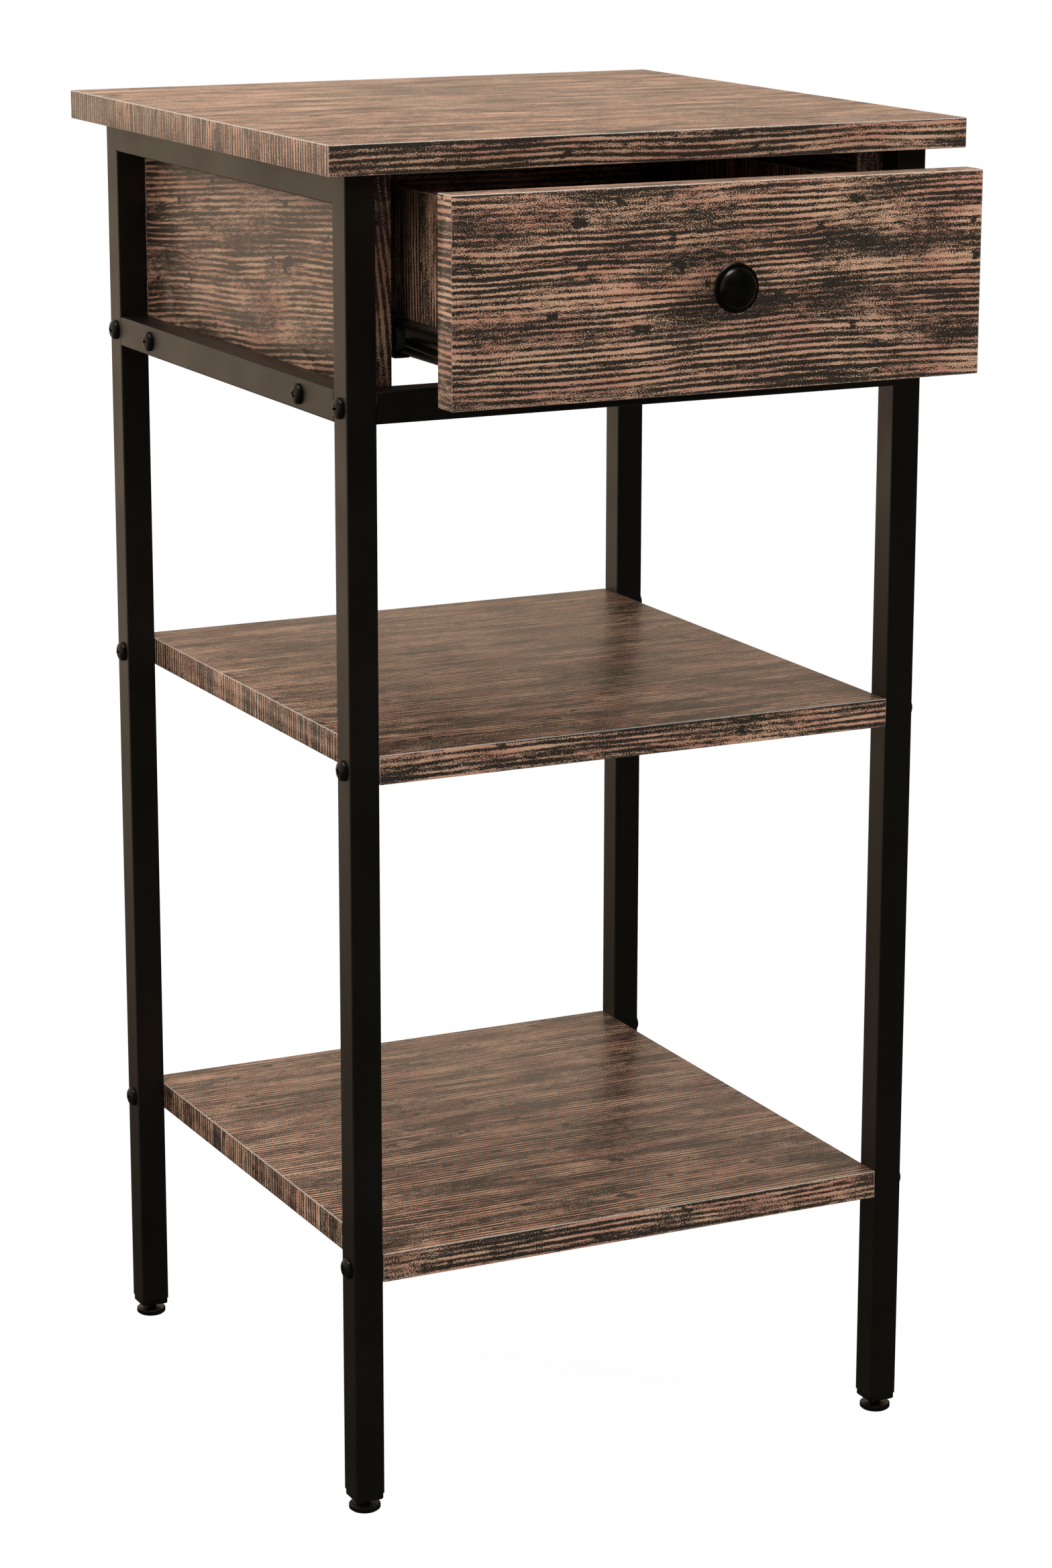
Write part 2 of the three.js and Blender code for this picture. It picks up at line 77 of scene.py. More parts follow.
# %% Find the middle of the table
top_low, top_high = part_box("tabletop")
middle = (top_low + top_high) / 2
table_middle = Vector((middle.x, middle.y, 0))
table_height = top_high.z
print("table middle", tuple(round(v, 4) for v in table_middle), "height", round(table_height, 3))

# %% [markdown]
# A long lens from far off keeps upright legs nearly parallel, as in a catalogue picture.
# The camera stands to the left of the front and looks slightly down at the middle shelf.

# %% Camera
CAMERA_AZIMUTH = radians(26.14)
CAMERA_ELEVATION = radians(14.18)
CAMERA_ROLL = radians(0.09)
CAMERA_DISTANCE = 2.2352
CAMERA_LENS_MM = 94.36
AIM_OFFSET = Vector((0.0115, -0.0056, 0.3335))

view_direction = Vector((
    sin(CAMERA_AZIMUTH) * cos(CAMERA_ELEVATION),
    cos(CAMERA_AZIMUTH) * cos(CAMERA_ELEVATION),
    -sin(CAMERA_ELEVATION),
))
level_right = view_direction.cross(Vector((0, 0, 1))).normalized()
level_up = level_right.cross(view_direction)
camera_right = level_right * cos(CAMERA_ROLL) + level_up * sin(CAMERA_ROLL)
camera_up = level_up * cos(CAMERA_ROLL) - level_right * sin(CAMERA_ROLL)
camera = bpy.data.objects.new("camera", bpy.data.cameras.new("camera"))
camera.data.sensor_width = 36
camera.data.lens = CAMERA_LENS_MM
camera.data.clip_end = 50
turned_to = Matrix((camera_right, camera_up, -view_direction)).transposed().to_4x4()
camera.matrix_world = Matrix.Translation(
    table_middle + AIM_OFFSET - view_direction * CAMERA_DISTANCE) @ turned_to
bpy.context.scene.collection.objects.link(camera)
bpy.context.scene.camera = camera
print("camera at", tuple(round(v, 3) for v in camera.location))

# %% [markdown]
# A material is a small network of nodes. This helper adds one node and fills its sockets:
# a value sets a socket, and another node's output is linked to it.

# %% Helpers for materials
def node(tree, kind, sockets=None, **settings):
    made = tree.nodes.new("ShaderNode" + kind)
    for name, value in settings.items():
        setattr(made, name, value)
    for name, value in (sockets or {}).items():
        if isinstance(value, bpy.types.NodeSocket):
            tree.links.new(value, made.inputs[name])
        else:
            made.inputs[name].default_value = value
    return made


def new_finish(name):
    finish = bpy.data.materials.new(name)
    finish.use_nodes = True
    finish.node_tree.nodes.clear()
    return finish, finish.node_tree


def close_finish(tree, **sockets):
    shader = node(tree, "BsdfPrincipled", {k.replace("_", " "): v for k, v in sockets.items()})
    node(tree, "OutputMaterial", {"Surface": shader.outputs["BSDF"]})


def maths(tree, operation, first, second=0.0, third=0.0):
    made = node(tree, "Math", {0: first, 1: second, 2: third}, operation=operation)
    return made.outputs[0]


def smooth_step(tree, value, low, high, to_low=0.0, to_high=1.0):
    made = node(tree, "MapRange", {
        "Value": value, "From Min": low, "From Max": high, "To Min": to_low, "To Max": to_high,
    }, interpolation_type="SMOOTHSTEP")
    return made.outputs["Result"]


def blend_colours(tree, share, first, second):
    made = node(tree, "Mix", {0: share, 6: first, 7: second}, data_type="RGBA")
    return made.outputs[2]


def noise(tree, where, scale, detail=2.0):
    made = node(tree, "TexNoise", {"Vector": where, "Scale": scale, "Detail": detail})
    return made.outputs["Fac"]


def grain_noise(tree, where, along, across, detail):
    """Noise with this many waves in a metre along the grain and across it."""
    counts = node(tree, "VectorMath", {0: where, 1: (along, across, 1)}, operation="MULTIPLY")
    return noise(tree, counts.outputs[0], 1.0, detail)


# %% [markdown]
# The boards are covered with a printed woodgrain foil: broken dark streaks over a warm tan,
# with shallow pores pressed into it. A foil isn't solid wood, so its streaks don't run
# through the board. On each face the grain needs a direction of its own, which is picked
# here from the face's normal.

# %% Woodgrain coordinates
AXES = {"x": 0, "y": 1, "z": 2}
FACING_SHARE = 0.7                   # a face whose normal has more of an axis faces along it


def face_grain(tree, along_across, shift, tilt):
    """A position with the grain's own axes: X along the grain and Y across it."""
    place = node(tree, "TexCoord")
    apart = node(tree, "SeparateXYZ", {"Vector": place.outputs["Object"]})
    normal = node(tree, "SeparateXYZ", {"Vector": place.outputs["Normal"]})
    chosen = None
    for facing, (along, across) in along_across.items():
        flat = node(tree, "CombineXYZ", {
            "X": apart.outputs[AXES[along]], "Y": apart.outputs[AXES[across]], "Z": 0.0,
        }).outputs[0]
        if chosen is None:
            chosen = flat
            continue
        size = maths(tree, "ABSOLUTE", normal.outputs[AXES[facing]])
        is_facing = maths(tree, "GREATER_THAN", size, FACING_SHARE)
        mix = node(tree, "Mix", {0: is_facing, 4: chosen, 5: flat}, data_type="VECTOR")
        chosen = mix.outputs[1]
    flat = node(tree, "SeparateXYZ", {"Vector": chosen})
    slanted = maths(tree, "MULTIPLY_ADD", flat.outputs[0], tilt, flat.outputs[1])
    return node(tree, "CombineXYZ", {
        "X": maths(tree, "ADD", flat.outputs[0], shift[0]),
        "Y": maths(tree, "ADD", slanted, shift[1]), "Z": 0.0}).outputs[0]


# %% [markdown]
# The streaks are growth rings: a sine across the grain, bent by a slow wave, with noise
# stretched along the grain on top. Wider bands, blotches and small knots are added, and then a
# fine speckle, before one cut between dark and light. So every streak gets a broken edge. A
# slow noise decides where the streaks fade into plain speckle. Light parts drift between tan
# and rose, and dark parts hold a fine dust. The edges are turned a broken pale colour, partly
# worn foil and partly a painted highlight, strongest on edges that face up to the lamp.

# %% Woodgrain finish
DARK_GRAIN = (0.014, 0.0115, 0.009, 1)
DUSTY_GRAIN = (0.07, 0.054, 0.039, 1)
TAN_GRAIN = (0.53, 0.315, 0.203, 1)
ROSE_GRAIN = (0.46, 0.228, 0.15, 1)
RING_TURNS = 2 * pi / 0.0031         # one dark and one light streak in every 3.1 mm
RING_STRENGTH = 0.18
WAVE_HEIGHT = 0.009                  # how far the slow wave moves a streak
DARK_BELOW, LIGHT_ABOVE = 0.03, 0.2  # where the print's level is cut
PORE_DEPTH = 0.00006
# pale edge colour: partly worn foil, partly a painted highlight on the bevels
WORN_EDGE_AND_HIGHLIGHT = (0.62, 0.58, 0.52, 1)


def woodgrain(name, along_across, shift, tilt=0.0, edge_wear_and_highlight=0.0, gloss=0.5):
    finish, tree = new_finish(name)
    where = face_grain(tree, along_across, shift, tilt)
    wave = grain_noise(tree, where, 5, 9, 2)
    apart = node(tree, "SeparateXYZ", {"Vector": where})
    across = maths(tree, "MULTIPLY_ADD", wave, WAVE_HEIGHT, apart.outputs[1])
    where = node(tree, "CombineXYZ", {"X": apart.outputs[0], "Y": across, "Z": 0.0}).outputs[0]
    drift = grain_noise(tree, where, 10, 40, 3)
    rings = maths(tree, "MULTIPLY_ADD", drift, 9.0, maths(tree, "MULTIPLY", across, RING_TURNS))
    rings = maths(tree, "MULTIPLY", maths(tree, "SINE", rings), RING_STRENGTH)
    streaks = grain_noise(tree, where, 16, 480, 2)
    wobble = grain_noise(tree, where, 150, 760, 2)
    bands = grain_noise(tree, where, 8, 75, 3)
    blotches = grain_noise(tree, where, 36, 80, 4)
    fade = grain_noise(tree, where, 11, 42, 2)
    speckle = grain_noise(tree, where, 1250, 2200, 1)
    strength = smooth_step(tree, fade, 0.42, 0.62, 1.5, 0.4)
    level = maths(tree, "MULTIPLY_ADD", maths(tree, "SUBTRACT", streaks, 0.5), 1.1, rings)
    level = maths(tree, "MULTIPLY", level, strength)
    for layer, share in ((wobble, 0.75), (bands, 0.8), (blotches, 0.65), (speckle, 1.6)):
        level = maths(tree, "MULTIPLY_ADD", maths(tree, "SUBTRACT", layer, 0.5), share, level)
    knots = grain_noise(tree, where, 60, 95, 2)
    level = maths(tree, "MULTIPLY_ADD", smooth_step(tree, knots, 0.66, 0.73), -0.5, level)
    light = smooth_step(tree, level, DARK_BELOW, LIGHT_ABOVE)
    hue = grain_noise(tree, where, 20, 60, 3)
    warm = blend_colours(tree, smooth_step(tree, hue, 0.42, 0.6), TAN_GRAIN, ROSE_GRAIN)
    dust = smooth_step(tree, grain_noise(tree, where, 1500, 1900, 1), 0.46, 0.68)
    dark = blend_colours(tree, dust, DARK_GRAIN, DUSTY_GRAIN)
    colour = blend_colours(tree, light, dark, warm)
    # Painted highlight with some wear: the bevel turns pale, most where it faces up to the
    # overhead lamp, broken by the speckle.
    if edge_wear_and_highlight:
        upward = node(tree, "SeparateXYZ", {"Vector": node(tree, "TexCoord").outputs["Normal"]})
        share = smooth_step(tree, upward.outputs["Z"], -0.1, 0.6, edge_wear_and_highlight * 0.2, edge_wear_and_highlight)
        share = maths(tree, "MULTIPLY", share, smooth_step(tree, speckle, 0.28, 0.5, 0.35, 1.0))
        colour = blend_colours(tree, share, colour, WORN_EDGE_AND_HIGHLIGHT)
    sheen = smooth_step(tree, speckle, 0.3, 0.7, 0.32, 0.42)
    relief = node(tree, "Bump", {"Strength": 0.2, "Distance": PORE_DEPTH, "Height": light})
    close_finish(
        tree, Base_Color=colour, Roughness=sheen, Normal=relief.outputs[0],
        Specular_IOR_Level=gloss)
    return finish


# %% [markdown]
# The steel is powder coated. Powder melts into a satin skin with a faint orange-peel
# texture. Fine noise in the relief makes the peel, and slow noise varies gloss and shade.

# %% Powder coat finish
def powder_coat(name, colour, roughness):
    finish, tree = new_finish(name)
    place = node(tree, "TexCoord").outputs["Object"]
    peel = noise(tree, place, 1400, 2)
    clouds = noise(tree, place, 18, 3)
    shade = smooth_step(tree, clouds, 0.3, 0.7, 0.85, 1.2)
    tint = node(tree, "VectorMath", {0: colour, "Scale": shade}, operation="SCALE")
    dull = smooth_step(tree, clouds, 0.3, 0.7, roughness - 0.04, roughness + 0.05)
    relief = node(tree, "Bump", {"Strength": 0.12, "Distance": 0.00004, "Height": peel})
    close_finish(tree, Base_Color=tint.outputs[0], Roughness=dull, Normal=relief.outputs[0])
    return finish


# %% [markdown]
# Screws, knob and plastic are dark too, but each has its own gloss: oiled black screws,
# smooth paint on the knob, and a fine spark-eroded grain on the moulded feet. One smudged
# map sets both how dull a spot is and how strongly it mirrors.

# %% Finishes of the small parts
def dark_finish(name, colour, roughness, grain_scale, grain_depth, metallic=0.0):
    finish, tree = new_finish(name)
    place = node(tree, "TexCoord").outputs["Object"]
    grain = noise(tree, place, grain_scale, 3)
    smudge = noise(tree, place, 120, 3)
    shade = smooth_step(tree, smudge, 0.3, 0.7, 0.8, 1.25)
    tint = node(tree, "VectorMath", {0: colour, "Scale": shade}, operation="SCALE")
    dull = smooth_step(tree, smudge, 0.3, 0.7, roughness - 0.05, roughness + 0.07)
    relief = node(tree, "Bump", {"Strength": 0.25, "Distance": grain_depth, "Height": grain})
    close_finish(
        tree, Base_Color=tint.outputs[0], Roughness=dull, Normal=relief.outputs[0],
        Metallic=metallic, Specular_IOR_Level=dull)
    return finish


steel_finish = powder_coat("powder_coat", (0.0036, 0.0032, 0.0022), 0.4)
screw_finish = dark_finish("black_screw", (0.006, 0.006, 0.006), 0.3, 2600, 0.00002, 0.4)
foot_finish = dark_finish("moulded_plastic", (0.004, 0.0037, 0.0032), 0.3, 3800, 0.00004)
roller_finish = dark_finish("roller_plastic", (0.02, 0.02, 0.02), 0.4, 3000, 0.00003)
knob_finish = dark_finish("knob_paint", (0.0016, 0.0017, 0.0013), 0.25, 1500, 0.000004)
print("finishes made:", len(bpy.data.materials))

# %% [markdown]
# The boards and tubes keep their imported shapes. Their sharp edges would look computer made,
# so two modifiers soften the boards: one joins the loose triangles of the import, and a bevel
# rounds every sharp edge. The bevel's faces take the second finish, whose pale edges are partly
# wear and partly a painted highlight. The tubes are round at the corners already, so theirs
# only need smoother shading.

# %% Soften and finish the imported boards and tubes
JOIN_DISTANCE = 0.000002             # corners nearer than this are one corner
BEVEL_FROM, SHARP_FROM = radians(60), radians(35)


def soften(name, finishes, radius, segments=3):
    piece = frame["nodes"][name]
    piece.data.materials.clear()
    for finish in finishes:
        piece.data.materials.append(finish)
    weld = piece.modifiers.new("join", "WELD")
    weld.merge_threshold = JOIN_DISTANCE
    bevel = piece.modifiers.new("edge", "BEVEL")
    bevel.width = radius
    bevel.segments = segments
    bevel.limit_method = "ANGLE"
    bevel.angle_limit = BEVEL_FROM
    bevel.harden_normals = True
    bevel.material = 1 if len(finishes) > 1 else -1
    piece.data.shade_smooth()
    piece.data.set_sharp_from_angle(angle=SHARP_FROM)


# For the faces along each axis, the axes that run along and across the grain.
flat_board = {"z": ("x", "y"), "y": ("x", "z"), "x": ("z", "y")}
front_board = {"y": ("x", "z"), "x": ("y", "z"), "z": ("x", "y")}
side_board = {"x": ("y", "z"), "y": ("z", "x"), "z": ("y", "x")}
upright_board = {"x": ("z", "y"), "y": ("z", "x"), "z": ("y", "x")}
boards = {
    "tabletop": (flat_board, (0.31, 0.72), 0.0),
    "middle_shelf": (flat_board, (3.17, 1.4), 0.0),
    "lower_shelf": (flat_board, (5.9, 2.6), 0.0),
    "left_side_panel": (side_board, (7.3, 3.1), 0.095),
    "right_side_panel": (side_board, (9.1, 4.9), 0.0),
    "back_panel": (front_board, (11.7, 5.3), 0.0),
    "drawer_front": (front_board, (13.4, 6.1), 0.0),
    "drawer_left_side": (upright_board, (15.2, 7.7), 0.0),
    "drawer_right_side": (upright_board, (17.8, 8.2), 0.0),
    "drawer_back": (front_board, (19.3, 9.6), 0.0),
}
BOARD_EDGE, BOTTOM_EDGE, PLUG_EDGE = 0.0005, 0.0003, 0.00025
# how pale the bevels get, as worn foil and as a painted highlight
EDGE_WEAR_AND_HIGHLIGHT_SHARE = 0.6
LACQUERED = {"tabletop": 1.0}        # the top has a thicker lacquer than the other boards
for name, (along_across, shift, tilt) in boards.items():
    gloss = LACQUERED.get(name, 0.5)
    grain = woodgrain("woodgrain_" + name, along_across, shift, tilt, 0.0, gloss)
    edge = woodgrain("woodgrain_edge_" + name, along_across, shift, tilt, EDGE_WEAR_AND_HIGHLIGHT_SHARE, gloss)
    soften(name, (grain, edge), BOARD_EDGE)
bottom_finish = woodgrain("woodgrain_drawer_bottom", flat_board, (21.5, 10.2))
soften("drawer_bottom", (bottom_finish,), BOTTOM_EDGE, 2)
sides = ("left", "right")
ends = ("front", "rear")
tubes = [f"{side}_{end}_leg" for side in sides for end in ends]
tubes += [f"{side}_{level}_rail" for side in sides for level in ("lower", "top")]
tubes += ["front_crossbar", "rear_crossbar"]
for name in tubes:
    tube = frame["nodes"][name]
    tube.data.materials.clear()
    tube.data.materials.append(steel_finish)
    tube.modifiers.new("join", "WELD").merge_threshold = JOIN_DISTANCE
    tube.modifiers.new("flat_faces", "WEIGHTED_NORMAL").keep_sharp = False
    tube.data.shade_smooth()
for name in [n for n in frame["nodes"] if n.endswith("_leg_plug")]:
    soften(name, (foot_finish,), PLUG_EDGE)
print("boards:", len(boards) + 1, "tubes:", len(tubes))

# %% [markdown]
# The small turned and bent parts are made again with more detail. These helpers turn a
# profile around an axis, round the corners of a line, cut one shape out of another, and put
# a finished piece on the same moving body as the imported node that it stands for.

# %% Helpers for shapes
import random

body_of = {
    name: next(body for body, empty in frame["bodies"].items() if empty == piece.parent)
    for name, piece in frame["nodes"].items()
}
chance = random.Random(12)


def to_mesh(name, shape, sharp=35):
    bmesh.ops.remove_doubles(shape, verts=shape.verts, dist=0.000001)
    bmesh.ops.recalc_face_normals(shape, faces=shape.faces)
    mesh = bpy.data.meshes.new(name)
    shape.to_mesh(mesh)
    shape.free()
    mesh.shade_smooth()
    mesh.set_sharp_from_angle(angle=radians(sharp))
    return mesh


def turn_profile(shape, profile, segments=48):
    """Adds a turned surface about Z to the shape, from (radius, height) pairs in millimetres."""
    rings = []
    for radius, height in profile:
        angles = [2 * pi * step / segments for step in range(segments)]
        spots = [(radius * cos(a) * MM, radius * sin(a) * MM, height * MM) for a in angles]
        if radius == 0:
            rings.append([shape.verts.new(spots[0])] * segments)
        else:
            rings.append([shape.verts.new(spot) for spot in spots])
    for lower, upper in zip(rings, rings[1:]):
        for step in range(segments):
            after = (step + 1) % segments
            around = (lower[step], lower[after], upper[after], upper[step])
            corners = list(dict.fromkeys(around))
            if len(corners) > 2:
                shape.faces.new(corners)


def round_corners(points, radius, steps=4):
    """The same open line, with an arc in the place of each inner corner."""
    points = [Vector(p) for p in points]
    line = [points[0]]
    for before, corner, after in zip(points, points[1:], points[2:]):
        back, ahead = (before - corner), (after - corner)
        half_turn = back.angle(ahead) / 2
        reach = min(radius / max(abs(sin(half_turn) / cos(half_turn)), 0.01),
                    back.length * 0.45, ahead.length * 0.45)
        start, end = corner + back.normalized() * reach, corner + ahead.normalized() * reach
        for step in range(steps + 1):
            t = step / steps
            line.append(start * (1 - t) ** 2 + corner * 2 * t * (1 - t) + end * t ** 2)
    line.append(points[-1])
    return line


def carve(mesh, cutters):
    """Cuts every cutter mesh out of the mesh."""
    block = bpy.data.objects.new("block", mesh)
    bpy.context.scene.collection.objects.link(block)
    tools = []
    for cutter in cutters:
        tool = bpy.data.objects.new("tool", cutter)
        bpy.context.scene.collection.objects.link(tool)
        cut = block.modifiers.new("cut", "BOOLEAN")
        cut.object, cut.operation, cut.solver = tool, "DIFFERENCE", "EXACT"
        tools.append(tool)
    bpy.context.view_layer.update()
    ready = block.evaluated_get(bpy.context.evaluated_depsgraph_get())
    carved = bpy.data.meshes.new_from_object(ready)
    carved.name = mesh.name
    for spare in [block, *tools]:
        bpy.data.objects.remove(spare)
    return carved


def add_piece(name, mesh, finish, stands_for=(), body=None, place=None):
    if not mesh.materials:
        mesh.materials.append(finish)
    piece = bpy.data.objects.new(name, mesh)
    bpy.context.scene.collection.objects.link(piece)
    if place is not None:
        piece.matrix_world = place
    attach(piece, body or body_of[stands_for[0]])
    if stands_for:
        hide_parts(*stands_for)


def facing(origin, direction, twist=0.0):
    """A place at the origin whose own Z points along the direction."""
    turned = Vector(direction).to_track_quat("Z", "Y").to_matrix().to_4x4()
    return Matrix.Translation(origin) @ turned @ Matrix.Rotation(twist, 4, "Z")


print("bodies that move:", sorted(set(body_of.values()) - {"table_frame"}))

# %% [markdown]
# Every screw has a domed head with a cross recess and a coarse thread that bites into the
# board. The recess narrows towards its floor, like the tip of the driver that fits it. The
# heads sit at slightly different turns, as hand-driven screws do.

# %% Screws
HEAD_RADIUS, HEAD_HEIGHT = 5.25, 3.25
SHANK_RADIUS, THREAD_ROOT, THREAD_PITCH = 1.95, 1.55, 1.5
RECESS_DEPTH, TIP_LENGTH = 1.9, 3.2


def tapered_slot(top, floor, low, high):
    """A cutter from a floor rectangle to a wider top one; each is (half length, half width)."""
    shape = bmesh.new()
    for (reach, width), height in ((floor, low), (top, high)):
        for x, y in ((-1, -1), (1, -1), (1, 1), (-1, 1)):
            shape.verts.new((x * reach * MM, y * width * MM, height * MM))
    bmesh.ops.convex_hull(shape, input=shape.verts)
    return to_mesh("slot", shape)


def screw_mesh(length):
    dome = []
    for step in range(9):
        t = step / 8 * pi / 2
        dome.append((HEAD_RADIUS * cos(t) ** 0.75 if step < 8 else 0,
                     HEAD_HEIGHT * (0.26 + 0.74 * sin(t))))
    thread = []
    height = TIP_LENGTH - length
    while height < -1.5:
        thread += [(THREAD_ROOT, height), (SHANK_RADIUS, height + THREAD_PITCH / 2)]
        height += THREAD_PITCH
    rim = [(SHANK_RADIUS, 0), (HEAD_RADIUS - 0.25, 0), (HEAD_RADIUS, 0.25)]
    shape = bmesh.new()
    turn_profile(shape, [(0, -length)] + thread + rim + dome, 24)
    mesh = to_mesh("screw", shape, 50)
    top, floor = (2.75, 0.62), (1.3, 0.4)
    low, high = HEAD_HEIGHT - RECESS_DEPTH, HEAD_HEIGHT + 0.4
    upright = tapered_slot(top, floor, low, high)
    across = upright.copy()
    across.transform(Matrix.Rotation(pi / 2, 4, "Z"))
    carved = carve(mesh, [upright, across])
    carved.shade_smooth()
    carved.set_sharp_from_angle(angle=radians(50))
    return carved


screw_meshes = {}
screws = [n for n in frame["nodes"] if n.endswith("_screw")]
for name in screws:
    low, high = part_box(name)
    if name == "knob_screw":
        direction = Vector((0, 1, 0))
    elif "_top_" in name:
        direction = Vector((0, 0, -1))
    else:
        direction = Vector((-1 if name.startswith("left") else 1, 0, 0))
    centre, reach = (low + high) / 2, (high - low) / 2
    full_length = 2 * abs(direction.dot(reach))
    seat = centre + direction * (full_length / 2 - HEAD_HEIGHT * MM)
    length = round(full_length / MM - HEAD_HEIGHT, 2)
    if length not in screw_meshes:
        screw_meshes[length] = screw_mesh(length)
    twist = radians(chance.uniform(-25, 25))
    add_piece("domed_" + name, screw_meshes[length], screw_finish,
              (name,), place=facing(seat, direction, twist))
print("screws:", len(screws), "in lengths", sorted(screw_meshes))

# %% [markdown]
# The knob is turned from one piece: a flared neck, a round bead at the rim, a fine groove
# and a low dome. The groove is what makes the bead read as a separate ring.

# %% Knob
knob_low, knob_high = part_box("knob")
knob_centre = (knob_low + knob_high) / 2
KNOB_RADIUS = (knob_high.x - knob_low.x) / 2 / MM
KNOB_HEIGHT = (knob_high.y - knob_low.y) / MM


def knob_mesh():
    bead = 1.15
    bead_height = KNOB_HEIGHT * 0.66
    neck = [(KNOB_RADIUS * 0.44, 0), (KNOB_RADIUS * 0.44, 0.8), (KNOB_RADIUS * 0.38, 3.2),
            (KNOB_RADIUS * 0.46, 6.4), (KNOB_RADIUS * 0.86, bead_height - bead * 1.1)]
    line = [tuple(p) for p in round_corners(neck, 2.0, 5)]
    for step in range(15):
        t = -pi / 2 + step / 14 * pi * 0.82
        line.append((KNOB_RADIUS - bead + bead * cos(t), bead_height + bead * sin(t)))
    groove_radius, groove_height = KNOB_RADIUS - 1.7 * bead, bead_height + bead * 0.75
    for step in range(23):
        t = step / 22 * pi / 2
        line.append((groove_radius * cos(t) if step < 22 else 0,
                     groove_height + (KNOB_HEIGHT - groove_height) * sin(t)))
    shape = bmesh.new()
    turn_profile(shape, [(0, 0)] + line, 72)
    return to_mesh("knob", shape, 75)


knob_foot = Vector((knob_centre.x, knob_high.y, knob_centre.z))
add_piece("turned_knob", knob_mesh(), knob_finish, ("knob",),
          place=facing(knob_foot, (0, -1, 0)))
print("knob:", round(2 * KNOB_RADIUS, 2), "wide,", round(KNOB_HEIGHT, 2), "high")

# %% [markdown]
# Each foot is a moulded disc on a threaded stud. Fine ribs round the disc let fingers turn it
# to level the table. The ribs are a ripple of the rim's radius.

# %% Levelling feet
FOOT_RADIUS, DISC_HEIGHT, STUD_RADIUS, STUD_PITCH = 8.2, 3.25, 2.95, 1.25
RIBS, RIB_DEPTH = 44, 0.26


def foot_mesh(total_height):
    shape = bmesh.new()
    disc = round_corners([
        (FOOT_RADIUS - 1.1, 0), (FOOT_RADIUS - 0.1, 0.8), (FOOT_RADIUS, 1.1),
        (FOOT_RADIUS, DISC_HEIGHT - 0.35), (FOOT_RADIUS - 0.4, DISC_HEIGHT),
    ], 0.3, 3)
    profile = [(0, 0)] + [tuple(p) for p in disc]
    profile += [(STUD_RADIUS + 1.2, DISC_HEIGHT), (STUD_RADIUS, DISC_HEIGHT + 0.3)]
    turn_profile(shape, profile, RIBS * 4)
    for corner in shape.verts:
        radius, height = corner.co.xy.length / MM, corner.co.z / MM
        if radius > FOOT_RADIUS - 0.5 and height > 0.9:
            angle = Vector((1, 0)).angle_signed(corner.co.xy)
            corner.co.xy *= 1 - RIB_DEPTH / FOOT_RADIUS * (0.5 - 0.5 * cos(RIBS * angle))
    thread = [(0, DISC_HEIGHT - 0.5), (STUD_RADIUS, DISC_HEIGHT - 0.5)]
    height = DISC_HEIGHT
    while height < total_height - 1.2:
        thread += [(STUD_RADIUS, height), (STUD_RADIUS - 0.35, height + STUD_PITCH / 2)]
        height += STUD_PITCH
    thread += [(STUD_RADIUS - 0.5, total_height), (0, total_height)]
    turn_profile(shape, thread, 24)
    return to_mesh("foot", shape, 40)


corners = [f"{side}_{end}" for side in sides for end in ends]
shared_foot = None
for corner in corners:
    low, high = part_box(corner + "_foot")
    if shared_foot is None:
        shared_foot = foot_mesh((high.z - low.z) / MM)
    origin = Vector(((low.x + high.x) / 2, (low.y + high.y) / 2, low.z))
    add_piece(corner + "_ribbed_foot", shared_foot, foot_finish,
              (corner + "_foot",), place=Matrix.Translation(origin))
print("feet:", len(corners), "with", RIBS, "ribs each")

# %% [markdown]
# A roller slide is two strips of bent steel, each with one wheel. The cabinet's strip wraps
# round the wheel path, and the drawer's strip holds the drawer's lower edge. A strip is its
# bent centre line given a thickness, with slotted holes and small screws.

# %% Slides
SHEET, BEND = 1.25, 1.6
SLIDE_SPACE, NEAR_FACE = 12.5, 3.5   # from the panel to the drawer's side, and to the lip's edge
CABINET_FLANGE, CABINET_TOP_FLANGE = 9.5, 7
ROLLER_GAP = 0.3125
SLOT_LENGTH, SLOT_WIDTH = 9.0, 4.2
SLOT_SHARES = (0.16, 0.5, 0.84)      # where the slots are along a strip
STRIP_BODIES = {"cabinet": "table_frame", "drawer": "drawer"}


def strip_mesh(name, line, start, end, slots):
    """A bent strip along Y. The line is (distance from the panel, height) in millimetres."""
    line = round_corners(line, BEND, 5)
    edges = ([], [])
    for step, spot in enumerate(line):
        before, after = line[max(step - 1, 0)], line[min(step + 1, len(line) - 1)]
        ahead = (after - before).normalized()
        side = Vector((-ahead.y, ahead.x)) * SHEET / 2
        edges[0].append(spot + side)
        edges[1].append(spot - side)
    outline = edges[0] + edges[1][::-1]
    shape = bmesh.new()
    ends = [[shape.verts.new((p.x * MM, y, p.y * MM)) for p in outline] for y in (start, end)]
    count, half = len(outline), len(line)
    for step in range(count):
        after = (step + 1) % count
        shape.faces.new((ends[0][step], ends[0][after], ends[1][after], ends[1][step]))
    for ring in ends:
        for step in range(half - 1):
            shape.faces.new((ring[step], ring[step + 1], ring[-step - 2], ring[-step - 1]))
    return carve(to_mesh(name, shape), slots)


def slot_cutter(across, along, height):
    shape = bmesh.new()
    for x in (across - 3, across + 3):
        for step in range(24):
            angle = 2 * pi * step / 24
            shift = (SLOT_LENGTH - SLOT_WIDTH) / 2 * (1 if cos(angle) >= 0 else -1)
            shape.verts.new((x * MM, along + (shift + SLOT_WIDTH / 2 * cos(angle)) * MM,
                             (height + SLOT_WIDTH / 2 * sin(angle)) * MM))
    bmesh.ops.convex_hull(shape, input=shape.verts)
    return to_mesh("slot", shape)


